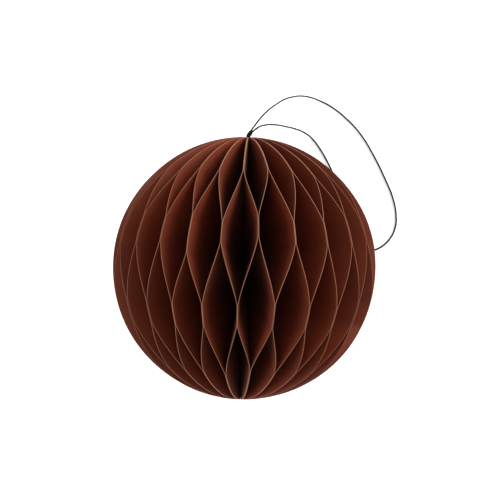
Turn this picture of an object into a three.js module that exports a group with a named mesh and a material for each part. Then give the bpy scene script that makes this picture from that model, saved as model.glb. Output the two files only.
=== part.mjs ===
// A folding honeycomb paper ball with a hanging loop, in millimetres, +Z up.
//
// The ball lies on a table. Its spine runs along Y, with the hanging loop at the +Y end, and its seam,
// where the two cover boards meet, faces the table. The origin is on the table, under the ball's centre.
//
// Forty-four half-round paper leaves stand round the spine. Each leaf weaves between the two radial
// planes that bound its own wedge of the ball. It is glued to one neighbour along one plane and to the
// other neighbour along the other plane, in turns, which opens the lens-shaped cells between the leaves.

import {
  BoxGeometry,
  CatmullRomCurve3,
  CylinderGeometry,
  ExtrudeGeometry,
  Group,
  LatheGeometry,
  MathUtils,
  Mesh,
  MeshStandardMaterial,
  Path,
  Shape,
  Vector2,
  Vector3,
} from "three";

// Ball
const ballRadius = 42.5;
const leafCount = 44;
const paperThickness = 0.22;
const glueGap = 0.06;

// Glue zones along a leaf's rim, in degrees of latitude from the equator. Each pole has a long zone
// and each half has a short band. North pole and south band are glued on one side of a leaf, south
// pole and north band on the other.
const poleZoneEdge = 49.5;
const bandInnerEdge = 13.5;
const bandOuterEdge = 24;
const polarSteps = 4;
const bandSteps = 2;
const freeSteps = 5;
const freeArcEase = 0.3;
const spineFan = 2;

// Cover boards and the magnets that hold them together. A magnet is a little thinner than its board, and
// its place follows the boards' rim.
const boardThickness = 1;
const magnetRadius = 3;
const magnetRecess = 0.05;
const magnetRimMargin = 4.5;
const magnetLatitude = MathUtils.degToRad(31);
const magnetClearance = 0.1;
const magnetSides = 24;
const rimSides = 32;

// Spine: a binding strip rolled inside the ring of leaf edges, and a plug of glue that holds the cord
const stripThickness = 0.25;
const stripClearance = 0.08;
const stripInset = 1;
const stripSides = 24;
const plugClearance = 0.1;
const plugLength = 10;
const plugInset = 1.5;

// Hanging cord
const cordDiameter = 0.5;
const cordSides = 8;
const cordSteps = 74;
const tailDiameter = 1;
const tailClearance = 0.1;
const tailInset = 0.1;
const neckDiameter = 1.2;
const neckSteps = 5;

const wedgeAngle = (2 * Math.PI) / leafCount;
const halfWedge = wedgeAngle / 2;
const leafPitch = paperThickness + glueGap;
const seamOffset = boardThickness + glueGap;
// Distance of the leaves' straight edges from the axis, set by how much paper goes round the spine
const spineRadius = leafPitch / (2 * Math.sin(halfWedge)) + seamOffset / Math.PI;
const magnetReach = ballRadius - magnetRimMargin - magnetRadius;
const magnetFromSpine = magnetReach * Math.cos(magnetLatitude);
const magnetFromEquator = magnetReach * Math.sin(magnetLatitude);

function paperMaterial(color) {
  return new MeshStandardMaterial({ color, roughness: 0.72, metalness: 0, flatShading: true });
}

const finishes = {
  leaf: () => paperMaterial(0x5c3222),
  board: () => paperMaterial(0x54301f),
  magnet: () => new MeshStandardMaterial({ color: 0xb9bcc0, roughness: 0.25, metalness: 1 }),
  strip: () => paperMaterial(0x3a2018),
  glue: () => new MeshStandardMaterial({ color: 0xd8c9a4, roughness: 0.4, metalness: 0 }),
  cord: () => new MeshStandardMaterial({ color: 0x2a302c, roughness: 0.6, metalness: 0 }),
};

function piece(name, geometry, material) {
  const mesh = new Mesh(geometry, material);
  mesh.name = name;
  return mesh;
}

// Steps along a leaf's rim: its latitude, and the side of the wedge that it lies on, from -1 to 1.
function rimStations() {
  const pole = Math.acos(spineRadius / ballRadius);
  const edges = [bandInnerEdge, bandOuterEdge, poleZoneEdge].map(MathUtils.degToRad);
  const [inner, outer, cap] = edges;
  const stretches = [
    { from: -pole, to: -cap, sides: [-1, -1], steps: polarSteps },
    { from: -cap, to: -outer, sides: [-1, 1], steps: freeSteps },
    { from: -outer, to: -inner, sides: [1, 1], steps: bandSteps },
    { from: -inner, to: inner, sides: [1, -1], steps: freeSteps },
    { from: inner, to: outer, sides: [-1, -1], steps: bandSteps },
    { from: outer, to: cap, sides: [-1, 1], steps: freeSteps },
    { from: cap, to: pole, sides: [1, 1], steps: polarSteps },
  ];
  const stations = [{ latitude: -pole, side: -1 }];
  for (const { from, to, sides, steps } of stretches) {
    for (let step = 1; step <= steps; step += 1) {
      const share = step / steps;
      const eased = MathUtils.lerp(share, MathUtils.smoothstep(share, 0, 1), freeArcEase);
      stations.push({
        latitude: MathUtils.lerp(from, to, share),
        side: MathUtils.lerp(sides[0], sides[1], eased),
      });
    }
  }
  return stations;
}

// A leaf with its straight edge on Y, its rim towards +Z and its wave along X. Every line from the
// spine to the rim is straight. turn is 1 or -1, and mirrors the wave for every other leaf.
function leafGeometry(stations, turn) {
  const last = stations.length - 1;
  const geometry = new BoxGeometry(1, 1, 1, 1, last, 1);
  const corners = geometry.attributes.position;
  for (let i = 0; i < corners.count; i += 1) {
    const { latitude, side } = stations[Math.round((corners.getY(i) + 0.5) * last)];
    const outside = corners.getZ(i) > 0;
    const fan = (spineFan * latitude) / stations[last].latitude;
    const along = outside ? ballRadius * Math.sin(latitude) : fan;
    const out = outside ? ballRadius * Math.cos(latitude) - spineRadius : 0;
    const across = turn * side * Math.tan(halfWedge) * out;
    corners.setXYZ(i, across + corners.getX(i) * paperThickness, along, out);
  }
  return geometry;
}

// Radial plane number j, counted from the seam. Its direction turns from -180 to 180 degrees, measured
// from +Z towards +X, and its offset from the axis makes room for the two boards at the seam.
function wedgePlane(j) {
  const angle = -Math.PI + j * wedgeAngle;
  const offset = seamOffset * (1 - (2 * j) / leafCount);
  return { angle, offset, normal: new Vector2(Math.cos(angle), -Math.sin(angle)) };
}

// Where leaf number k has its straight edge, as (x, z) from the axis, and which way it points.
function leafPlace(k) {
  const a = wedgePlane(k);
  const b = wedgePlane(k + 1);
  const spread = a.normal.cross(b.normal);
  const apex = new Vector2(
    (a.offset * b.normal.y - b.offset * a.normal.y) / spread,
    (b.offset * a.normal.x - a.offset * b.normal.x) / spread,
  );
  const angle = a.angle + halfWedge;
  const reach = leafPitch / (2 * Math.sin(halfWedge));
  const edge = apex.add(new Vector2(Math.sin(angle), Math.cos(angle)).multiplyScalar(reach));
  return { angle, edge };
}

function makeLeaves() {
  const leaves = new Group();
  const stations = rimStations();
  for (let k = 0; k < leafCount; k += 1) {
    const number = String(k + 1).padStart(2, "0");
    const { angle, edge } = leafPlace(k);
    const turn = k % 2 === 0 ? -1 : 1;
    const leaf = piece(`leaf_${number}`, leafGeometry(stations, turn), finishes.leaf());
    leaf.position.set(edge.x, 0, edge.y);
    leaf.rotation.y = angle;
    leaves.add(leaf);
  }
  return leaves;
}

// A cover board's half-round outline, with its straight edge at the spine and two holes for magnets.
// Its x is the distance below the axis and its y runs along the spine.
function boardOutline() {
  const reach = Math.acos(spineRadius / ballRadius);
  const outline = new Shape();
  outline.absarc(0, 0, ballRadius, -reach, reach, false);
  outline.closePath();
  for (const end of [-1, 1]) {
    const hole = new Path();
    const radius = magnetRadius + magnetClearance;
    hole.absarc(magnetFromSpine, end * magnetFromEquator, radius, 0, 2 * Math.PI, true);
    outline.holes.push(hole);
  }
  return outline;
}

// The two boards hang down from the spine, one on each side of the seam.
function makeCovers() {
  const covers = new Group();
  const magnetThickness = boardThickness - 2 * magnetRecess;
  for (const [name, side] of [["left", -1], ["right", 1]]) {
    const start = side > 0 ? glueGap / 2 : -glueGap / 2 - boardThickness;
    const board = new ExtrudeGeometry(boardOutline(), {
      depth: boardThickness,
      bevelEnabled: false,
      curveSegments: rimSides,
    });
    board.rotateY(Math.PI / 2);
    board.translate(start, 0, 0);
    covers.add(piece(`cover_${name}`, board, finishes.board()));
    for (const [place, end] of [["upper", 1], ["lower", -1]]) {
      const magnet = new CylinderGeometry(magnetRadius, magnetRadius, magnetThickness, magnetSides);
      magnet.rotateZ(Math.PI / 2);
      magnet.translate(start + boardThickness / 2, end * magnetFromEquator, -magnetFromSpine);
      covers.add(piece(`magnet_${name}_${place}`, magnet, finishes.magnet()));
    }
  }
  return covers;
}

// A ring of the given radii, from y = low to y = high, round the spine's axis
function ring(inner, outer, low, high, sides) {
  const section = [
    new Vector2(inner, low),
    new Vector2(outer, low),
    new Vector2(outer, high),
    new Vector2(inner, high),
    new Vector2(inner, low),
  ];
  return new LatheGeometry(section, sides);
}

function makeSpine() {
  const spine = new Group();
  const end = Math.sqrt(ballRadius ** 2 - spineRadius ** 2);
  const stripOuter = spineRadius - stripClearance;
  const stripInner = stripOuter - stripThickness;
  const stripEnd = end - stripInset;
  const strip = ring(stripInner, stripOuter, -stripEnd, stripEnd, stripSides);
  spine.add(piece("spine_strip", strip, finishes.strip()));

  const plugTop = stripEnd - plugInset;
  const bore = tailDiameter / 2 + tailClearance;
  const plug = ring(bore, stripInner - plugClearance, plugTop - plugLength, plugTop, stripSides);
  spine.add(piece("cord_plug", plug, finishes.glue()));

  const tailTop = end - tailInset;
  const tailLength = tailTop - (plugTop - plugLength);
  const tail = new CylinderGeometry(tailDiameter / 2, tailDiameter / 2, tailLength, cordSides);
  tail.translate(0, tailTop - tailLength / 2, 0);
  spine.add(piece("cord_tail", tail, finishes.cord()));
  return spine;
}

// The free loop's route, out of the neck, down to the table, round and back to the neck. The points are
// in the ball's frame: x across, y along the spine and z up from the ball's centre.
const loopRoute = [
  [1.1, 44.95, 0.4],
  [1.9, 46.1, 0.6],
  [3.4, 48.2, 0.1],
  [5.9, 51.1, -3.0],
  [8.8, 53.5, -9.5],
  [11.3, 55.2, -18.5],
  [14.1, 56.2, -27.5],
  [16.8, 56.6, -34.5],
  [20.0, 56.2, -39.5],
  [22.9, 55.2, -41.7],
  [26.0, 53.8, -42.2],
  [31.7, 49.7, -42.2],
  [36.7, 44.6, -42.2],
  [41.5, 37.3, -42.2],
  [45.4, 29.9, -42.2],
  [48.3, 23.3, -42.2],
  [49.5, 17.7, -42.2],
  [49.3, 13.6, -42.2],
  [47.6, 9.8, -42.2],
  [45.4, 7.5, -42.2],
  [43.4, 6.3, -42.2],
  [41.2, 5.7, -42.2],
  [38.9, 6.0, -42.2],
  [36.9, 7.8, -42.2],
  [35.2, 10.9, -42.2],
  [33.2, 16.1, -42.2],
  [31.1, 22.4, -42.2],
  [28.5, 29.8, -42.2],
  [25.8, 35.3, -42.2],
  [23.5, 39.0, -42.2],
  [20.4, 42.8, -42.0],
  [17.7, 44.6, -40.0],
  [15.0, 45.6, -35.5],
  [12.2, 46.2, -27.5],
  [9.8, 46.6, -17.0],
  [7.6, 46.7, -8.5],
  [5.4, 46.5, -3.0],
  [3.3, 45.8, -0.5],
  [1.64, 44.5, 0.1],
];

// The short stretch above the spine where the cord's two ends lie together under their whipping.
const neckRoute = [
  [0, 42.75, 0],
  [0.25, 43.3, 0.1],
  [0.65, 43.85, 0.2],
  [1.15, 44.45, 0.25],
];

function smoothRoute(points) {
  return new CatmullRomCurve3(points.map((point) => new Vector3(...point)), false, "centripetal");
}

function cordTube(points, diameter, steps) {
  const section = new Shape();
  section.absarc(0, 0, diameter / 2, 0, 2 * Math.PI, false);
  return new ExtrudeGeometry(section, {
    steps,
    curveSegments: cordSides,
    extrudePath: smoothRoute(points),
  });
}

function makeLoop() {
  const loop = new Group();
  const strands = cordTube(loopRoute, cordDiameter, cordSteps);
  const neck = cordTube(neckRoute, neckDiameter, neckSteps);
  loop.add(piece("hanging_loop", strands, finishes.cord()));
  loop.add(piece("loop_neck", neck, finishes.cord()));
  return loop;
}

const ball = new Group();
ball.position.z = ballRadius;
ball.add(makeLeaves(), makeCovers(), makeSpine(), makeLoop());

export default ball;
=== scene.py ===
"""A folding honeycomb paper ball with a loop of cord, lying on a pale table.

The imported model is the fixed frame. Every leaf of paper is modelled again here as a thin bent sheet in its
own hand-glued shape, and the boards, magnets, spine and cord get their finished surfaces. Lengths are in
metres and angles in degrees, unless a name says otherwise.
"""

from __future__ import annotations

import logging
import math
import random
from dataclasses import dataclass, field
from enum import Enum
from typing import Any, Callable, Iterator, Sequence
import bmesh  # noqa: E402
import bpy  # noqa: E402
from mathutils import Matrix, Vector, noise  # noqa: E402


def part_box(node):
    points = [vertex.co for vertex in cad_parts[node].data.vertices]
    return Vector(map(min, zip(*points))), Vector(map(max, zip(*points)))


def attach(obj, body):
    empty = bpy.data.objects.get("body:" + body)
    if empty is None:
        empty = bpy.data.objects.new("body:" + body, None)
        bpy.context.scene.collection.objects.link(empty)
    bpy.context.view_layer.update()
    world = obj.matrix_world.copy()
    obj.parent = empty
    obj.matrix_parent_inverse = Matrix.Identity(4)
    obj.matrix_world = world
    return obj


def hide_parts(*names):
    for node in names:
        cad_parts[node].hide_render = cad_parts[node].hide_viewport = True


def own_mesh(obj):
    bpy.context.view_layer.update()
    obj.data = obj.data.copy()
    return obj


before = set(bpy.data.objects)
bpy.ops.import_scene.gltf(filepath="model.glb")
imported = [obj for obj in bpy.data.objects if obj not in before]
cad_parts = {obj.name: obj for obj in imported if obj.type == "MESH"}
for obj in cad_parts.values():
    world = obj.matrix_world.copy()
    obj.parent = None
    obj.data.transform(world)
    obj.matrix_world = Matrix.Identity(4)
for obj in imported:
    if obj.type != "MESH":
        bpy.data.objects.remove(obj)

LOG = logging.getLogger("honeycomb_ball")
MILLIMETRE = 0.001
WELD_DISTANCE = 0.002 * MILLIMETRE
BEVEL_ANGLE = math.radians(50)
Colour = tuple[float, float, float]
Point = tuple[float, float, float]


# ---------------------------------------------------------------------------------------------------------
# Shader maths
# ---------------------------------------------------------------------------------------------------------


class Wire:
    """An output socket that takes part in Python arithmetic."""

    def __init__(self, graph: Graph, socket: bpy.types.NodeSocket) -> None:
        """Wraps a socket.

        Args:
            graph: the node tree that the socket is in.
            socket: the output socket.
        """
        self.graph = graph
        self.socket = socket

    def _math(self, operation: str, first: Wire | float, second: Wire | float) -> Wire:
        """Adds a Math node.

        Args:
            operation: the Math node's operation.
            first: its first value.
            second: its second value.

        Returns:
            The node's output.
        """
        return self.graph.add("ShaderNodeMath", {"operation": operation}, {0: first, 1: second})

    def __add__(self, other: Wire | float) -> Wire:
        """Sum of two values."""
        return self._math("ADD", self, other)

    __radd__ = __add__

    def __sub__(self, other: Wire | float) -> Wire:
        """This value less the other."""
        return self._math("SUBTRACT", self, other)

    def __rsub__(self, other: Wire | float) -> Wire:
        """The other value less this one."""
        return self._math("SUBTRACT", other, self)

    def __mul__(self, other: Wire | float) -> Wire:
        """Product of two values."""
        return self._math("MULTIPLY", self, other)

    __rmul__ = __mul__

    def larger(self, other: Wire | float) -> Wire:
        """The larger of two values."""
        return self._math("MAXIMUM", self, other)

    def ping_pong(self, length: float) -> Wire:
        """This value folded up and down between 0 and a length."""
        return self._math("PINGPONG", self, length)

    def band(self, low: float, high: float) -> Wire:
        """How far this value is from low to high, from 0 to 1, with soft ends.

        Args:
            low: the value that gives 0.
            high: the value that gives 1.

        Returns:
            The share as a wire.
        """
        inputs = {"Value": self, "From Min": low, "From Max": high}
        return self.graph.add("ShaderNodeMapRange", {"interpolation_type": "SMOOTHSTEP"}, inputs)


class Graph:
    """The node tree of one material.

    The colour sockets of a Mix node are chosen by number, because its other sockets have the same names.
    """

    MIX_SHARE, MIX_FIRST, MIX_SECOND, MIX_RESULT = 0, 6, 7, 2

    def __init__(self, name: str) -> None:
        """Makes an empty material.

        Args:
            name: the material's name.
        """
        self.material = bpy.data.materials.new(name)
        self.material.use_nodes = True
        self.tree = self.material.node_tree
        self.tree.nodes.clear()

    def add(
        self,
        kind: str,
        settings: dict[str, Any] | None = None,
        inputs: dict[str | int, Any] | None = None,
        output: str | int = 0,
    ) -> Wire:
        """Adds a node, sets it up and links its inputs.

        Args:
            kind: the node's type.
            settings: the node's own settings.
            inputs: values or wires by socket name or number.
            output: the socket that is returned.

        Returns:
            The chosen output.
        """
        node = self.tree.nodes.new(kind)
        for key, value in (settings or {}).items():
            setattr(node, key, value)
        for key, value in (inputs or {}).items():
            if isinstance(value, Wire):
                self.tree.links.new(value.socket, node.inputs[key])
            else:
                node.inputs[key].default_value = value
        return Wire(self, node.outputs[output])

    def tint(self, share: Wire | float, first: Wire | Colour, second: Wire | Colour) -> Wire:
        """Mixes two colours.

        Args:
            share: how much of the second colour shows.
            first: the colour underneath.
            second: the colour mixed in.

        Returns:
            The mixed colour.
        """
        inputs = {self.MIX_SHARE: share}
        for key, colour in ((self.MIX_FIRST, first), (self.MIX_SECOND, second)):
            inputs[key] = colour if isinstance(colour, Wire) else (*colour, 1.0)
        return self.add("ShaderNodeMix", {"data_type": "RGBA"}, inputs, output=self.MIX_RESULT)

    def noise(self, place: Wire, scale: float, detail: float = 2.0, roughness: float = 0.5) -> Wire:
        """A soft random value that varies from place to place.

        Args:
            place: the coordinates.
            scale: how many blotches there are to a unit of length.
            detail: how many finer layers are added.
            roughness: how strong the finer layers are.

        Returns:
            A value from 0 to 1.
        """
        inputs = {"Vector": place, "Scale": scale, "Detail": detail, "Roughness": roughness}
        return self.add("ShaderNodeTexNoise", {"noise_dimensions": "3D"}, inputs)

    def turned(self, place: Wire, angle: float, stretch: Sequence[float]) -> Wire:
        """Coordinates turned in their own plane and stretched.

        Args:
            place: the coordinates.
            angle: the turn, in degrees.
            stretch: the scale along the three turned axes.

        Returns:
            The new coordinates.
        """
        inputs = {"Vector": place, "Rotation": (0.0, 0.0, math.radians(angle)), "Scale": tuple(stretch)}
        return self.add("ShaderNodeMapping", {"vector_type": "TEXTURE"}, inputs)

    def uv(self) -> Wire:
        """The piece's own UV map."""
        return self.add("ShaderNodeTexCoord", output="UV")

    def place(self) -> Wire:
        """The point's place in the piece's own coordinates."""
        return self.add("ShaderNodeTexCoord", output="Object")

    def bump(self, height: Wire, strength: float, distance: float) -> Wire:
        """A bumped normal.

        Args:
            height: the height pattern.
            strength: how strong the bump is, up to 1.
            distance: the height of the pattern.

        Returns:
            The normal.
        """
        inputs = {"Height": height, "Strength": strength, "Distance": distance}
        return self.add("ShaderNodeBump", None, inputs)

    def finish(self, **sockets: Any) -> bpy.types.Material:
        """Feeds the surface shader and the output.

        Args:
            sockets: values or wires for the shader's sockets, with spaces written as underscores.

        Returns:
            The finished material.
        """
        inputs = {key.replace("_", " "): value for key, value in sockets.items()}
        shader = self.add("ShaderNodeBsdfPrincipled", None, inputs)
        end = self.tree.nodes.new("ShaderNodeOutputMaterial")
        self.tree.links.new(shader.socket, end.inputs["Surface"])
        return self.material


# ---------------------------------------------------------------------------------------------------------
# Finishes
# ---------------------------------------------------------------------------------------------------------


@dataclass(frozen=True)
class LeafPaper:
    """Dyed-through paper with long pulp fibres and a soft satin face, laid out in millimetres."""

    name: str = "leaf_paper"
    deep: Colour = (0.172, 0.043, 0.020)
    warm: Colour = (0.215, 0.060, 0.031)
    fibre: Colour = (0.250, 0.080, 0.044)
    fibre_share: float = 0.20
    fibre_angles: tuple[float, ...] = (14.0, 71.0, -38.0)
    fibre_stretch: Point = (5.5, 0.24, 1.0)
    speck_share: float = 0.35
    roughness: float = 0.40
    specular: float = 0.50
    sheen: float = 0.07
    sheen_roughness: float = 0.45
    sheen_tint: Colour = (0.95, 0.74, 0.64)
    relief: float = 0.03 * MILLIMETRE

    def material(self) -> bpy.types.Material:
        """Builds the face of a leaf.

        Returns:
            The material.
        """
        graph = Graph(self.name)
        uv = graph.uv()
        sheet_tone = graph.noise(uv, scale=0.007, detail=1.0)
        cloud = graph.noise(uv, scale=0.16, detail=3.0, roughness=0.55)
        lays = [graph.turned(uv, angle, self.fibre_stretch) for angle in self.fibre_angles]
        strands = [graph.noise(lay, scale=1.0, roughness=0.6).band(0.56, 0.74) for lay in lays]
        fibres = strands[0].larger(strands[1]).larger(strands[2])
        pulp = graph.noise(uv, scale=5.5, detail=4.0, roughness=0.65)
        face = graph.tint(cloud * 0.6 + sheet_tone * 0.5, self.deep, self.warm)
        face = graph.tint(fibres * self.fibre_share, face, self.fibre)
        face = graph.tint(pulp.band(0.62, 0.75) * self.speck_share, face, self.deep)
        height = fibres * 0.5 + pulp * 0.7 + cloud * 0.6
        return graph.finish(
            Base_Color=face,
            Roughness=self.roughness + 0.14 * cloud + 0.08 * pulp,
            Specular_IOR_Level=self.specular,
            Sheen_Weight=self.sheen,
            Sheen_Roughness=self.sheen_roughness,
            Sheen_Tint=(*self.sheen_tint, 1.0),
            Normal=graph.bump(height, strength=0.35, distance=self.relief),
        )


@dataclass(frozen=True)
class CutEdge:
    """The paper's cut edge, lighter than its face, where the torn ends of the fibres catch the light."""

    name: str = "cut_edge"
    light: Colour = (0.310, 0.182, 0.126)
    dark: Colour = (0.205, 0.112, 0.074)
    roughness: float = 0.72
    specular: float = 0.3
    relief: float = 0.03 * MILLIMETRE

    def material(self) -> bpy.types.Material:
        """Builds the edge of a leaf.

        Returns:
            The material.
        """
        graph = Graph(self.name)
        place = graph.place()
        ends = graph.noise(place, scale=2600.0, detail=3.0, roughness=0.7)
        wear = graph.noise(place, scale=190.0)
        return graph.finish(
            Base_Color=graph.tint(ends * 0.6 + wear * 0.5, self.dark, self.light),
            Roughness=self.roughness + 0.15 * ends,
            Specular_IOR_Level=self.specular,
            Normal=graph.bump(ends, strength=0.5, distance=self.relief),
        )


@dataclass(frozen=True)
class BoardFacing:
    """Grey board faced on both sides with the leaves' paper, its layers showing at the cut rim."""

    name: str = "faced_board"
    deep: Colour = (0.105, 0.029, 0.014)
    warm: Colour = (0.140, 0.041, 0.021)
    fibre: Colour = (0.19, 0.068, 0.038)
    fibre_share: float = 0.25
    core: Colour = (0.300, 0.245, 0.190)
    core_shade: Colour = (0.17, 0.125, 0.09)
    rim_roughness: float = 0.9
    facing_polish: float = 0.35
    specular: float = 0.35
    relief: float = 0.04 * MILLIMETRE

    def material(self) -> bpy.types.Material:
        """Builds the boards' surface: paper where it faces along X, board elsewhere.

        Returns:
            The material.
        """
        graph = Graph(self.name)
        place = graph.place()
        normal = graph.add("ShaderNodeNewGeometry", output="Normal")
        across = graph.add("ShaderNodeSeparateXYZ", None, {"Vector": normal}, output="X")
        facing = (across * across).band(0.35, 0.75)
        cloud = graph.noise(place, scale=170.0, detail=3.0)
        fibres = graph.noise(graph.turned(place, 0.0, (1.0, 0.2, 0.05)), scale=900.0).band(0.52, 0.72)
        flat = graph.turned(place, 0.0, (0.04, 1.0, 1.0))
        layers = graph.noise(flat, scale=300.0, detail=3.0, roughness=0.7)
        paper = graph.tint(cloud, self.deep, self.warm)
        paper = graph.tint(fibres * self.fibre_share, paper, self.fibre)
        board = graph.tint(layers * 0.8, self.core, self.core_shade)
        return graph.finish(
            Base_Color=graph.tint(facing, board, paper),
            Roughness=self.rim_roughness - self.facing_polish * facing,
            Specular_IOR_Level=self.specular,
            Normal=graph.bump(layers * 0.6 + fibres * 0.4, strength=0.4, distance=self.relief),
        )


@dataclass(frozen=True)
class Nickel:
    """Nickel plating on a disc magnet, with fine turned scratches and duller smudges."""

    name: str = "nickel"
    colour: Colour = (0.44, 0.43, 0.40)
    smudged: Colour = (0.54, 0.53, 0.50)
    roughness: float = 0.20
    relief: float = 0.01 * MILLIMETRE

    def material(self) -> bpy.types.Material:
        """Builds the magnets' surface.

        Returns:
            The material.
        """
        graph = Graph(self.name)
        place = graph.place()
        smudge = graph.noise(place, scale=420.0, detail=3.0)
        scratch = graph.noise(graph.turned(place, 24.0, (1.0, 0.03, 1.0)), scale=2200.0).band(0.5, 0.75)
        return graph.finish(
            Base_Color=graph.tint(smudge, self.colour, self.smudged),
            Metallic=1.0,
            Roughness=self.roughness + 0.2 * smudge + 0.12 * scratch,
            Normal=graph.bump(scratch, strength=0.15, distance=self.relief),
        )


@dataclass(frozen=True)
class BindingPaper:
    """Dark binding paper rolled into the spine's strip."""

    name: str = "binding_paper"
    deep: Colour = (0.050, 0.020, 0.013)
    warm: Colour = (0.085, 0.034, 0.020)
    roughness: float = 0.66
    relief: float = 0.03 * MILLIMETRE

    def material(self) -> bpy.types.Material:
        """Builds the strip's surface.

        Returns:
            The material.
        """
        graph = Graph(self.name)
        place = graph.place()
        cloud = graph.noise(place, scale=300.0, detail=3.0)
        grain = graph.noise(graph.turned(place, 0.0, (1.0, 0.15, 1.0)), scale=2400.0)
        return graph.finish(
            Base_Color=graph.tint(cloud * 0.7 + grain * 0.3, self.deep, self.warm),
            Roughness=self.roughness + 0.16 * grain,
            Normal=graph.bump(grain, strength=0.4, distance=self.relief),
        )


@dataclass(frozen=True)
class DriedGlue:
    """Clear craft glue, dried a little yellow, with bubbles and drips."""

    name: str = "dried_glue"
    colour: Colour = (0.52, 0.42, 0.26)
    pale: Colour = (0.66, 0.56, 0.38)
    roughness: float = 0.22
    coat: float = 0.5
    relief: float = 0.15 * MILLIMETRE

    def material(self) -> bpy.types.Material:
        """Builds the plug's surface.

        Returns:
            The material.
        """
        graph = Graph(self.name)
        place = graph.place()
        drips = graph.noise(place, scale=700.0)
        bubbles = graph.noise(place, scale=3600.0, detail=1.0).band(0.6, 0.7)
        return graph.finish(
            Base_Color=graph.tint(drips, self.colour, self.pale),
            Roughness=self.roughness + 0.25 * bubbles,
            Coat_Weight=self.coat,
            Normal=graph.bump(drips + bubbles * 0.3, strength=0.6, distance=self.relief),
        )


@dataclass(frozen=True)
class WaxedCord:
    """Thin twisted cord, grey-green black, with a waxed surface. Its lay follows the cord; painted shade
    darkens the grooves between its strands.
    """

    name: str = "waxed_cord"
    # The first colour is the painted shade in the grooves between strands, the second the crowns, painted
    # lighter.
    deep: Colour = (0.007, 0.010, 0.008)
    lit_crown: Colour = (0.030, 0.037, 0.029)
    turns: float = 190.0
    strands: float = 3.0
    roughness: float = 0.50
    specular: float = 0.25
    lay_depth: float = 0.03 * MILLIMETRE

    def material(self) -> bpy.types.Material:
        """Builds the cord's surface: slanted strands from the piece's own UV map, with painted shade in
        their grooves.

        Returns:
            The material.
        """
        graph = Graph(self.name)
        uv = graph.uv()
        along = graph.add("ShaderNodeSeparateXYZ", None, {"Vector": uv}, output="X")
        round_it = graph.add("ShaderNodeSeparateXYZ", None, {"Vector": uv}, output="Y")
        slant = along * self.turns + round_it * self.strands
        crown = (slant.ping_pong(0.5) * 2.0).band(0.05, 0.85)
        fuzz = graph.noise(graph.place(), scale=4200.0, detail=3.0, roughness=0.7)
        return graph.finish(
            # Painted shade: the colour is darker in the grooves and lighter on the crowns of the strands.
            Base_Color=graph.tint(crown * 0.45 + fuzz * 0.4, self.deep, self.lit_crown),
            Roughness=self.roughness + 0.25 * fuzz,
            Specular_IOR_Level=self.specular,
            Normal=graph.bump(crown + fuzz * 0.3, strength=0.7, distance=self.lay_depth),
        )


@dataclass(frozen=True)
class FrayedFibre:
    """The paler raw fibres where the cord is cut."""

    name: str = "frayed_fibre"
    colour: Colour = (0.23, 0.21, 0.17)
    shade: Colour = (0.10, 0.095, 0.075)
    roughness: float = 0.7
    relief: float = 0.02 * MILLIMETRE

    def material(self) -> bpy.types.Material:
        """Builds the fibres' surface.

        Returns:
            The material.
        """
        graph = Graph(self.name)
        grain = graph.noise(graph.place(), scale=3000.0)
        return graph.finish(
            Base_Color=graph.tint(grain, self.colour, self.shade),
            Roughness=self.roughness + 0.15 * grain,
            Normal=graph.bump(grain, strength=0.3, distance=self.relief),
        )


@dataclass(frozen=True)
class PaleFloor:
    """A white table top, lit from within like a light table so that it stays evenly pale."""

    name: str = "pale_floor"
    colour: Colour = (0.86, 0.86, 0.86)
    grain: Colour = (0.88, 0.88, 0.88)
    roughness: float = 0.9
    glow: float = 0.24

    def material(self) -> bpy.types.Material:
        """Builds the table top.

        Returns:
            The material.
        """
        graph = Graph(self.name)
        grain = graph.noise(graph.place(), scale=60.0)
        return graph.finish(
            Base_Color=graph.tint(grain, self.colour, self.grain),
            Roughness=self.roughness,
            Specular_IOR_Level=0.0,
            Emission_Color=(1.0, 1.0, 1.0, 1.0),
            Emission_Strength=self.glow,
        )


# ---------------------------------------------------------------------------------------------------------
# The ball's proportions
# ---------------------------------------------------------------------------------------------------------


class Bonding(Enum):
    """Which glue zones two neighbouring leaves share."""

    LOOP_END = "a long zone at the end with the loop, and a band in the other half"
    PLAIN_END = "a long zone at the plain end, and a band in the half with the loop"

    @classmethod
    def at_plane(cls, number: int) -> Bonding:
        """The bonding at a radial plane, which changes from each plane to the next."""
        return cls.LOOP_END if number % 2 == 0 else cls.PLAIN_END


@dataclass(frozen=True)
class Bond:
    """Where two neighbouring leaves are glued: latitudes in degrees, without their sign.

    Attributes:
        turn: how far the glued pair is turned from its even place round the spine.
        pole: where the long zone at the pole ends.
        outer: the band's end towards the pole.
        inner: the band's end towards the equator.
    """

    turn: float = 0.0
    pole: float = 49.5
    outer: float = 24.0
    inner: float = 13.5


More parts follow.
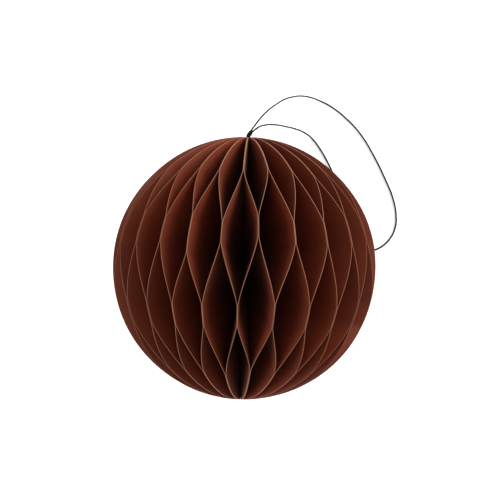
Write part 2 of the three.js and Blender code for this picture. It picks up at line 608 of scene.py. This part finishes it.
@dataclass(frozen=True)
class BallShape:
    """Sizes of the ball and the places of its leaves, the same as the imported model's."""

    radius: float = 42.5 * MILLIMETRE
    leaf_count: int = 44
    paper: float = 0.22 * MILLIMETRE
    glue_gap: float = 0.06 * MILLIMETRE
    board: float = 1.0 * MILLIMETRE

    @property
    def wedge(self) -> float:
        """The angle that one leaf takes up, in radians."""
        return 2 * math.pi / self.leaf_count

    @property
    def pitch(self) -> float:
        """A sheet and its glue."""
        return self.paper + self.glue_gap

    @property
    def seam_offset(self) -> float:
        """How far each half is pushed aside at the seam to make room for its board."""
        return self.board + self.glue_gap

    @property
    def spine_radius(self) -> float:
        """Distance of the leaves' straight edges from the axis."""
        return self.pitch / (2 * math.sin(self.wedge / 2)) + self.seam_offset / math.pi

    @property
    def pole_latitude(self) -> float:
        """Where a leaf's rim meets its straight edge, in radians."""
        return math.acos(self.spine_radius / self.radius)

    def plane(self, number: int) -> tuple[float, float, Vector]:
        """A radial plane between two leaves, counted from the seam.

        Args:
            number: the plane's number.

        Returns:
            Its direction from +Z towards +X, its offset from the axis, and its normal as (x, z).
        """
        angle = -math.pi + number * self.wedge
        offset = self.seam_offset * (1 - 2 * number / self.leaf_count)
        return angle, offset, Vector((math.cos(angle), -math.sin(angle)))

    def leaf_place(self, number: int) -> tuple[float, Vector]:
        """Where a leaf stands.

        Args:
            number: the leaf's number, from 0.

        Returns:
            The way it points, from +Z towards +X, and the middle of its straight edge.
        """
        angle, first_offset, first = self.plane(number)
        _, second_offset, second = self.plane(number + 1)
        spread = first.x * second.y - first.y * second.x
        apex = Vector((
            (first_offset * second.y - second_offset * first.y) / spread,
            (second_offset * first.x - first_offset * second.x) / spread,
        ))
        middle = angle + self.wedge / 2
        reach = self.pitch / (2 * math.sin(self.wedge / 2))
        edge = apex + Vector((math.sin(middle), math.cos(middle))) * reach
        return middle, Vector((edge.x, 0.0, edge.y + self.radius))


# ---------------------------------------------------------------------------------------------------------
# Helpers for pieces
# ---------------------------------------------------------------------------------------------------------


def make_piece(
    name: str, mesh: bmesh.types.BMesh, materials: Sequence[bpy.types.Material]
) -> bpy.types.Object:
    """Turns a bmesh into an object whose place is in its mesh.

    Args:
        name: the piece's name.
        mesh: the shape, which is freed.
        materials: its materials, in slot order.

    Returns:
        The new object, with smooth faces.
    """
    data = bpy.data.meshes.new(name)
    for face in mesh.faces:
        face.smooth = True
    mesh.to_mesh(data)
    mesh.free()
    piece = bpy.data.objects.new(name, data)
    for material in materials:
        data.materials.append(material)
    bpy.context.scene.collection.objects.link(piece)
    return piece


def dress_node(name: str, material: bpy.types.Material, bevel: float = 0.0) -> bpy.types.Object:
    """Gives a carried-over CAD node its finish, and rounds its edges if asked.

    Args:
        name: the node's name.
        material: its finish.
        bevel: the width of the rounding, or 0 for none.

    Returns:
        The node's object.
    """
    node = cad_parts[name]
    node.data.materials.clear()
    node.data.materials.append(material)
    if bevel > 0:
        weld = node.modifiers.new("weld", "WELD")
        weld.merge_threshold = WELD_DISTANCE
        add_bevel(node, bevel, segments=2)
    return node


def add_bevel(piece: bpy.types.Object, width: float, segments: int) -> None:
    """Rounds a piece's sharp edges with a modifier.

    Args:
        piece: the piece.
        width: the width of the rounding.
        segments: how many strips it has.
    """
    bevel = piece.modifiers.new("rounded_edges", "BEVEL")
    bevel.width = width
    bevel.segments = segments
    bevel.limit_method = "ANGLE"
    bevel.angle_limit = BEVEL_ANGLE
    bevel.harden_normals = True


# ---------------------------------------------------------------------------------------------------------
# Sub-assemblies
# ---------------------------------------------------------------------------------------------------------


@dataclass
class Leaves:
    """The half-round leaves, each a thin sheet bent from bond to bond.

    The paper's pattern is laid out in millimetres: face_width from the straight edge to the rim, and
    rim_per_degree along the rim.
    """

    shape: BallShape
    paper: LeafPaper = field(default_factory=LeafPaper)
    edge: CutEdge = field(default_factory=CutEdge)
    steps_across: int = 12
    pole_steps: int = 14
    band_steps: int = 6
    free_steps: int = 20
    arc_ease: float = 0.3
    fan: float = 2.0 * MILLIMETRE
    edge_rounding: float = 0.03 * MILLIMETRE
    trim_error: float = 0.10 * MILLIMETRE
    trim_waver: float = 0.4
    trim_waves: float = 3.0
    buckle: float = 0.16 * MILLIMETRE
    buckles_per_metre: float = 55.0
    glue_squeeze: float = 0.025 * MILLIMETRE
    folded_share: float = 0.004
    turn_error: float = 0.7
    loose_pole: float = 49.3
    loose_outer: float = 24.0
    loose_inner: float = 13.2
    zone_error: float = 1.8
    band_error: float = 1.3
    face_width: float = 40.0
    rim_per_degree: float = 0.74
    pattern_spread: float = 400.0
    buckle_spread: float = 90.0
    buckle_step: float = 7.3
    seed: int = 1944
    seed_step: int = 101
    hand_glued: dict[int, Bond] = field(default_factory=lambda: {
        13: Bond(turn=2.2, inner=9.5),
        14: Bond(turn=2.4, inner=14.1),
        15: Bond(turn=2.4, inner=11.0),
        16: Bond(turn=2.2, pole=47.7, inner=13.4),
        17: Bond(turn=1.7, inner=12.3, outer=23.2),
        18: Bond(turn=0.6, pole=50.4, inner=14.3),
        19: Bond(turn=-0.3, inner=7.8, outer=24.6),
        20: Bond(turn=-1.2, pole=49.1, inner=14.1),
        21: Bond(turn=-1.6, pole=51.4, inner=12.7, outer=22.0),
        22: Bond(turn=-1.6, pole=49.0, inner=14.1, outer=23.6),
        23: Bond(turn=-1.4, pole=47.5, inner=15.6, outer=25.2),
        24: Bond(turn=-1.4, pole=49.7, inner=13.2),
        25: Bond(turn=-0.8, inner=13.1, outer=22.9),
        26: Bond(turn=-1.0, pole=48.8, inner=13.6),
        27: Bond(turn=-0.9, inner=12.2, outer=23.2),
        28: Bond(turn=-1.6, pole=46.0, inner=15.2),
        29: Bond(turn=-1.2, inner=12.4, outer=25.5),
        30: Bond(turn=-2.2, inner=11.5),
        31: Bond(turn=-2.4, inner=14.2),
    })

    def bonds(self) -> list[Bond]:
        """Every bond round the ball, in order from the seam.

        Returns:
            One bond for each radial plane; the two at the seam are glued to the boards and don't turn.
        """
        chance = random.Random(self.seed)
        bonds = []
        for number in range(self.shape.leaf_count + 1):
            loose = Bond(
                turn=chance.uniform(-self.turn_error, self.turn_error),
                pole=self.loose_pole + chance.uniform(-self.zone_error, self.zone_error),
                outer=self.loose_outer + chance.uniform(-self.band_error, self.band_error),
                inner=self.loose_inner + chance.uniform(-self.zone_error, self.zone_error),
            )
            if number in (0, self.shape.leaf_count):
                loose = Bond()
            bonds.append(self.hand_glued.get(number, loose))
        return bonds

    def stations(self, number: int, lower: Bond, upper: Bond) -> list[tuple[float, float]]:
        """Steps along a leaf's rim.

        Args:
            number: the leaf's number.
            lower: its bond on the side towards the first leaf.
            upper: its bond on the side towards the last leaf.

        Returns:
            Pairs of latitude in radians and side, from -1 at the lower plane to 1 at the upper plane.
        """
        if Bonding.at_plane(number) is Bonding.LOOP_END:
            loop_end, plain_end, near = lower, upper, -1.0
        else:
            loop_end, plain_end, near = upper, lower, 1.0
        pole = math.degrees(self.shape.pole_latitude)
        stretches = [
            (-pole, -plain_end.pole, -near, -near, self.pole_steps),
            (-plain_end.pole, -loop_end.outer, -near, near, self.free_steps),
            (-loop_end.outer, -loop_end.inner, near, near, self.band_steps),
            (-loop_end.inner, plain_end.inner, near, -near, self.free_steps),
            (plain_end.inner, plain_end.outer, -near, -near, self.band_steps),
            (plain_end.outer, loop_end.pole, -near, near, self.free_steps),
            (loop_end.pole, pole, near, near, self.pole_steps),
        ]
        steps = [(math.radians(-pole), -near)]
        for start, end, first, last, count in stretches:
            for step in range(1, count + 1):
                share = step / count
                soft = share * share * (3 - 2 * share)
                eased = share + (soft - share) * self.arc_ease
                latitude = math.radians(start + (end - start) * share)
                steps.append((latitude, first + (last - first) * eased))
        return steps

    def build_one(self, number: int, bonds: Sequence[Bond]) -> bmesh.types.BMesh:
        """Bends a flat grid of paper into one leaf.

        Args:
            number: the leaf's number, from 0.
            bonds: every bond round the ball.

        Returns:
            The leaf's middle surface, in place, with a UV map in millimetres of paper.
        """
        shape = self.shape
        chance = random.Random(self.seed + self.seed_step * number)
        trim = chance.uniform(0.1, 1.0) * self.trim_error
        drift = Vector((chance.uniform(0, self.buckle_spread), chance.uniform(0, self.buckle_spread), 0.0))
        drift.z = self.buckle_step * number
        lower, upper = bonds[number], bonds[number + 1]
        steps = self.stations(number, lower, upper)
        last = len(steps) - 1
        sheet = bmesh.new()
        bmesh.ops.create_grid(sheet, x_segments=self.steps_across, y_segments=last, size=0.5, calc_uvs=True)
        pattern = sheet.loops.layers.uv.verify()
        low_turn = -shape.wedge / 2 + math.radians(lower.turn)
        high_turn = shape.wedge / 2 + math.radians(upper.turn)
        pattern_places = {}
        for vert in sheet.verts:
            latitude, side = steps[round((vert.co.y + 0.5) * last)]
            share = vert.co.x + 0.5
            waver = self.trim_waver * math.sin(self.trim_waves * latitude + number)
            reach = shape.radius - trim * (1 - self.trim_waver + waver)
            inner = self.fan * latitude / shape.pole_latitude
            along = inner + (reach * math.sin(latitude) - inner) * share
            out = max(0.0, reach * math.cos(latitude) - shape.spine_radius) * share
            turn = low_turn + (high_turn - low_turn) * (side + 1) / 2
            free = (1 - side * side) * share
            spot = Vector((along, out, 0.0)) * self.buckles_per_metre + drift
            wave = noise.noise(spot) * self.buckle * free
            down_rim = math.degrees(latitude) * self.rim_per_degree
            pattern_places[vert.index] = (share * self.face_width, down_rim)
            vert.co = Vector((out * math.tan(turn) + wave + side * self.glue_squeeze, along, out))
        shift = Vector((chance.uniform(0, self.pattern_spread), chance.uniform(0, self.pattern_spread)))
        for face in sheet.faces:
            for loop in face.loops:
                loop[pattern].uv = Vector(pattern_places[loop.vert.index]) + shift
        bmesh.ops.recalc_face_normals(sheet, faces=sheet.faces)
        angle, edge = shape.leaf_place(number)
        place = Matrix.Translation(edge) @ Matrix.Rotation(angle, 4, "Y")
        bmesh.ops.transform(sheet, matrix=place, verts=sheet.verts)
        return sheet

    def build(self) -> Iterator[bpy.types.Object]:
        """Makes, dresses and rigs every leaf.

        Yields:
            Each finished leaf.
        """
        face, rim = self.paper.material(), self.edge.material()
        bonds = self.bonds()
        for number in range(self.shape.leaf_count):
            node = f"leaf_{number + 1:02d}"
            leaf = make_piece(f"paper_{node}", self.build_one(number, bonds), [face, rim])
            wall = leaf.modifiers.new("paper_thickness", "SOLIDIFY")
            wall.thickness = self.shape.paper
            wall.offset = 0.0
            wall.material_offset_rim = 1
            wall.use_quality_normals = True
            add_bevel(leaf, self.edge_rounding, segments=1)
            angle, edge = self.shape.leaf_place(number)
            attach(leaf, node)
            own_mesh(leaf)
            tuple(edge)
            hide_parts(node)
            yield leaf


@dataclass
class Covers:
    """The two faced boards at the seam and the disc magnets let into them."""

    facing: BoardFacing = field(default_factory=BoardFacing)
    plating: Nickel = field(default_factory=Nickel)
    board_rounding: float = 0.06 * MILLIMETRE
    magnet_rounding: float = 0.14 * MILLIMETRE
    magnet_sides: int = 72
    magnet_rounding_steps: int = 3
    sharp_angle: float = 60.0

    def build_magnet(self, node: str) -> bmesh.types.BMesh:
        """Turns one magnet to the size and place of its CAD node.

        Args:
            node: the magnet's node.

        Returns:
            The rounded disc.
        """
        low, high = (Vector(corner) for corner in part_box(node))
        size = high - low
        disc = bmesh.new()
        bmesh.ops.create_cone(
            disc,
            cap_ends=True,
            segments=self.magnet_sides,
            radius1=size.y / 2,
            radius2=size.y / 2,
            depth=size.x,
        )
        rims = [edge for edge in disc.edges if edge.calc_face_angle(0.0) > math.radians(self.sharp_angle)]
        bmesh.ops.bevel(
            disc,
            geom=rims,
            offset=self.magnet_rounding,
            segments=self.magnet_rounding_steps,
            profile=0.5,
            affect="EDGES",
            material=-1,
        )
        place = Matrix.Translation((low + high) / 2) @ Matrix.Rotation(math.pi / 2, 4, "Y")
        bmesh.ops.transform(disc, matrix=place, verts=disc.verts)
        return disc

    def build(self) -> Iterator[bpy.types.Object]:
        """Dresses the boards and makes the magnets.

        Yields:
            Each board and magnet.
        """
        facing, plating = self.facing.material(), self.plating.material()
        for side in ("left", "right"):
            yield dress_node(f"cover_{side}", facing, self.board_rounding)
            for end in ("upper", "lower"):
                node = f"magnet_{side}_{end}"
                magnet = make_piece(f"disc_{node}", self.build_magnet(node), [plating])
                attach(magnet, f"cover_{side}")
                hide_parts(node)
                yield magnet


@dataclass
class Spine:
    """The binding strip inside the ring of leaf edges, and the glue that holds the cord's ends."""

    binding: BindingPaper = field(default_factory=BindingPaper)
    glue: DriedGlue = field(default_factory=DriedGlue)
    plug_rounding: float = 0.2 * MILLIMETRE

    def build(self) -> Iterator[bpy.types.Object]:
        """Dresses the spine's CAD nodes.

        Yields:
            Each dressed node.
        """
        yield dress_node("spine_strip", self.binding.material())
        yield dress_node("cord_plug", self.glue.material(), self.plug_rounding)


@dataclass
class HangingCord:
    """The loop of thin waxed cord, its twisted neck and the frayed end beside it.

    The tail is the part of the twist inside the spine. The routes and the tuft's root are in millimetres
    from the ball's centre: x across, y along the spine, z up.
    """

    shape: BallShape
    finish: WaxedCord = field(default_factory=WaxedCord)
    neck_finish: WaxedCord = field(default_factory=lambda: WaxedCord(name="waxed_cord_neck", turns=5.0))
    fibre: FrayedFibre = field(default_factory=FrayedFibre)
    diameter: float = 0.5 * MILLIMETRE
    length: float = 0.210
    bevel_steps: int = 5
    curve_steps: int = 8
    neck_turns: float = 1.4
    neck_steps: int = 30
    neck_strand: float = 0.68 * MILLIMETRE
    neck_radius: float = 0.34 * MILLIMETRE
    strand_share: float = 0.98
    tail_turns: int = 3
    tail_steps: int = 30
    tail_radius: float = 0.245 * MILLIMETRE
    tail_end: float = 30.1 * MILLIMETRE
    tail_top: float = 41.7 * MILLIMETRE
    tuft_root: Point = (0.56, 42.98, 0.34)
    tuft_fibres: int = 14
    tuft_fibre: float = 0.06 * MILLIMETRE
    tuft_spread: tuple[tuple[float, float], ...] = ((0.5, 1.0), (-0.15, 0.75), (0.0, 0.5))
    tuft_curl: float = 0.18
    tuft_reach: tuple[float, float] = (0.5, 0.95)
    seed: int = 77
    neck_route: tuple[Point, ...] = (
        (0, 42.75, 0),
        (0.25, 43.3, 0.1),
        (0.65, 43.85, 0.2),
        (1.15, 44.45, 0.25),
    )
    loop_route: tuple[Point, ...] = (
        (1.1, 44.95, 0.4),
        (1.9, 46.1, 0.6),
        (3.4, 48.2, 0.1),
        (5.9, 51.1, -3.0),
        (8.8, 53.5, -9.5),
        (11.3, 55.2, -18.5),
        (14.1, 56.2, -27.5),
        (16.8, 56.6, -34.5),
        (20.0, 56.2, -39.5),
        (22.9, 55.2, -41.7),
        (26.0, 53.8, -42.2),
        (31.7, 49.7, -42.2),
        (36.7, 44.6, -42.2),
        (41.5, 37.3, -42.2),
        (45.4, 29.9, -42.2),
        (48.3, 23.3, -42.2),
        (49.5, 17.7, -42.2),
        (49.3, 13.6, -42.2),
        (47.6, 9.8, -42.2),
        (45.4, 7.5, -42.2),
        (43.4, 6.3, -42.2),
        (41.2, 5.7, -42.2),
        (38.9, 6.0, -42.2),
        (36.9, 7.8, -42.2),
        (35.2, 10.9, -42.2),
        (33.2, 16.1, -42.2),
        (31.1, 22.4, -42.2),
        (28.5, 29.8, -42.2),
        (25.8, 35.3, -42.2),
        (23.5, 39.0, -42.2),
        (20.4, 42.8, -42.0),
        (17.7, 44.6, -40.0),
        (15.0, 45.6, -35.5),
        (12.2, 46.2, -27.5),
        (9.8, 46.6, -17.0),
        (7.6, 46.7, -8.5),
        (5.4, 46.5, -3.0),
        (3.3, 45.8, -0.5),
        (1.64, 44.5, 0.1),
    )

    def place(self, point: Sequence[float]) -> Vector:
        """A route's point in the row frame, in metres."""
        return Vector(point) * MILLIMETRE + Vector((0.0, 0.0, self.shape.radius))

    def cord_curve(self, name: str, lines: Sequence[Sequence[Vector]], thickness: float) -> bpy.types.Object:
        """A round cord through given points.

        Args:
            name: the piece's name.
            lines: the points of each strand.
            thickness: the cord's diameter.

        Returns:
            The curve object.
        """
        curve = bpy.data.curves.new(name, "CURVE")
        curve.dimensions = "3D"
        curve.bevel_depth = thickness / 2
        curve.bevel_resolution = self.bevel_steps
        curve.resolution_u = self.curve_steps
        curve.use_fill_caps = True
        for points in lines:
            spline = curve.splines.new("BEZIER")
            spline.bezier_points.add(len(points) - 1)
            for knot, point in zip(spline.bezier_points, points):
                knot.co = point
                knot.handle_left_type = knot.handle_right_type = "AUTO"
        cord = bpy.data.objects.new(name, curve)
        bpy.context.scene.collection.objects.link(cord)
        return cord

    def neck_strands(self) -> list[list[Vector]]:
        """The cord's two ends, twisted round each other inside the spine and along the neck.

        Returns:
            The points of both strands, from their ends in the glue to the loop.
        """
        route = [self.place(point) for point in self.neck_route]
        strands: list[list[Vector]] = [[], []]
        for step in range(self.tail_steps):
            share = step / self.tail_steps
            along = self.tail_end + (self.tail_top - self.tail_end) * share
            middle = Vector((0.0, along, self.shape.radius))
            angle = 2 * math.pi * self.tail_turns * share
            offset = Vector((math.cos(angle), 0.0, math.sin(angle))) * self.tail_radius
            strands[0].append(middle + offset)
            strands[1].append(middle - offset)
        for step in range(self.neck_steps + 1):
            share = step / self.neck_steps * (len(route) - 1)
            part = min(int(share), len(route) - 2)
            middle = route[part].lerp(route[part + 1], share - part)
            forward = (route[part + 1] - route[part]).normalized()
            side = forward.cross(Vector((0, 0, 1))).normalized()
            rise = side.cross(forward)
            angle = 2 * math.pi * self.neck_turns * step / self.neck_steps
            offset = (side * math.cos(angle) + rise * math.sin(angle)) * self.neck_radius
            strands[0].append(middle + offset)
            strands[1].append(middle - offset)
        strands[0] += [self.place(point) for point in self.loop_route[:2]]
        strands[1] += [self.place(point) for point in reversed(self.loop_route[-2:])]
        return strands

    def frayed_strands(self) -> list[list[Vector]]:
        """A little tuft of cut fibres that lies beside the neck.

        Returns:
            The points of each fibre.
        """
        chance = random.Random(self.seed)
        root = self.place(self.tuft_root)
        tuft = []
        for _ in range(self.tuft_fibres):
            aim = Vector([chance.uniform(*span) for span in self.tuft_spread])
            curl = Vector([chance.uniform(-1, 1) for _ in range(3)]) * self.tuft_curl
            reach = chance.uniform(*self.tuft_reach) * MILLIMETRE
            tuft.append([root, root + (aim * 0.5 + curl) * reach, root + aim * reach])
        return tuft

    def build(self) -> Iterator[bpy.types.Object]:
        """Yields:
            The neck, the tuft and the loop.
        """
        neck = self.cord_curve("twisted_neck", self.neck_strands(), self.neck_strand)
        neck.data.materials.append(self.neck_finish.material())
        for strand in neck.data.splines:
            knots = strand.bezier_points
            for knot in [*knots[: self.tail_steps], *knots[-2:]]:
                knot.radius = self.strand_share * self.diameter / self.neck_strand
        tuft = self.cord_curve("frayed_end", self.frayed_strands(), self.tuft_fibre)
        tuft.data.materials.append(self.fibre.material())
        route = [self.place(point) for point in self.loop_route]
        loop = self.cord_curve("cord_loop", [route], self.diameter)
        loop.data.materials.append(self.finish.material())
        for piece in (neck, tuft, loop):
            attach(piece, "spine")
        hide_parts("loop_neck", "cord_tail")
        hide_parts("hanging_loop")
        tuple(route[0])
        yield neck
        yield tuft
        yield loop


@dataclass(frozen=True)
class SoftLight:
    """A square soft light that faces the ball: its place and size in metres, its power in watts."""

    name: str
    place: Point
    size: float
    power: float
    colour: Colour


@dataclass
class Studio:
    """A pale table, soft lights, and a camera that looks almost straight down on the ball."""

    shape: BallShape
    floor: PaleFloor = field(default_factory=PaleFloor)
    key_light: SoftLight = SoftLight("key_light", (0.74, 0.62, 0.46), 0.70, 8.2, (1.0, 0.985, 0.96))
    fill_light: SoftLight = SoftLight("fill_light", (-0.80, -0.25, 0.55), 0.70, 3.9, (1.0, 1.0, 1.0))
    distance: float = 1.2
    tip: float = 2.0
    swing: float = 1.0
    roll: float = 1.75
    lens: float = 267.0
    sensor: float = 36.0
    clipping: tuple[float, float] = (0.05, 20.0)
    shift_right: float = 0.0114
    shift_up: float = 0.0364
    floor_size: float = 3.0
    floor_steps: int = 8
    floor_gap: float = 0.02 * MILLIMETRE
    sky: float = 0.60
    look: str = "High Contrast"

    def camera(self) -> bpy.types.Object:
        """Makes the camera.

        Returns:
            The camera, made the scene's own.
        """
        data = bpy.data.cameras.new("camera")
        data.lens = self.lens
        data.sensor_width = self.sensor
        data.shift_x = self.shift_right
        data.shift_y = self.shift_up
        data.clip_start, data.clip_end = self.clipping
        swing, tip, roll = (math.radians(angle) for angle in (self.swing, self.tip, self.roll))
        back = Vector((math.sin(swing) * math.cos(tip), math.sin(tip), math.cos(swing) * math.cos(tip)))
        level = (Vector((0, 1, 0)) - back * back.y).normalized()
        right = level.cross(back)
        up = level * math.cos(roll) - right * math.sin(roll)
        right = up.cross(back)
        turn = Matrix((right, up, back)).transposed().to_4x4()
        camera = bpy.data.objects.new("camera", data)
        place = Vector((0, 0, self.shape.radius)) + back * self.distance
        camera.matrix_world = Matrix.Translation(place) @ turn
        bpy.context.scene.collection.objects.link(camera)
        bpy.context.scene.camera = camera
        return camera

    def table(self) -> bpy.types.Object:
        """Makes the table top.

        Returns:
            The floor object.
        """
        top = bmesh.new()
        steps = self.floor_steps
        bmesh.ops.create_grid(top, x_segments=steps, y_segments=steps, size=self.floor_size)
        bmesh.ops.translate(top, verts=top.verts, vec=(0, 0, -self.floor_gap))
        table = make_piece("table_top", top, [self.floor.material()])
        return table

    def light(self, lamp: SoftLight) -> bpy.types.Object:
        """Makes one soft light and turns it to the ball.

        Args:
            lamp: the light's settings.

        Returns:
            The light.
        """
        data = bpy.data.lights.new(lamp.name, "AREA")
        data.shape = "SQUARE"
        data.size = lamp.size
        data.energy = lamp.power
        data.color = lamp.colour
        light = bpy.data.objects.new(lamp.name, data)
        light.location = lamp.place
        aim = Vector((0, 0, self.shape.radius)) - Vector(lamp.place)
        light.rotation_euler = aim.to_track_quat("-Z", "Y").to_euler()
        light.visible_camera = False
        bpy.context.scene.collection.objects.link(light)
        return light

    def build(self) -> Iterator[bpy.types.Object]:
        """Makes the table, the lights and the sky.

        Yields:
            The table and each light.
        """
        yield self.table()
        yield self.light(self.key_light)
        yield self.light(self.fill_light)
        world = bpy.data.worlds.new("soft_sky")
        world.use_nodes = True
        sky = world.node_tree.nodes["Background"]
        sky.inputs["Color"].default_value = (1.0, 1.0, 1.0, 1.0)
        sky.inputs["Strength"].default_value = self.sky
        bpy.context.scene.world = world
        bpy.context.scene.view_settings.view_transform = "Standard"
        bpy.context.scene.view_settings.look = self.look


def main() -> None:
    """Builds the scene piece by piece and reports each one."""
    logging.basicConfig(level=logging.INFO, format="%(name)s: %(message)s")
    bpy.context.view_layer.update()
    shape = BallShape()
    studio = Studio(shape)
    LOG.info("made %s", studio.camera().name)
    builders: list[Callable[[], Iterator[bpy.types.Object]]] = [
        HangingCord(shape).build,
        Leaves(shape).build,
        Covers().build,
        Spine().build,
        studio.build,
    ]
    for build in builders:
        for piece in build():
            LOG.info("made %s", piece.name)


if __name__ == "__main__":
    main()
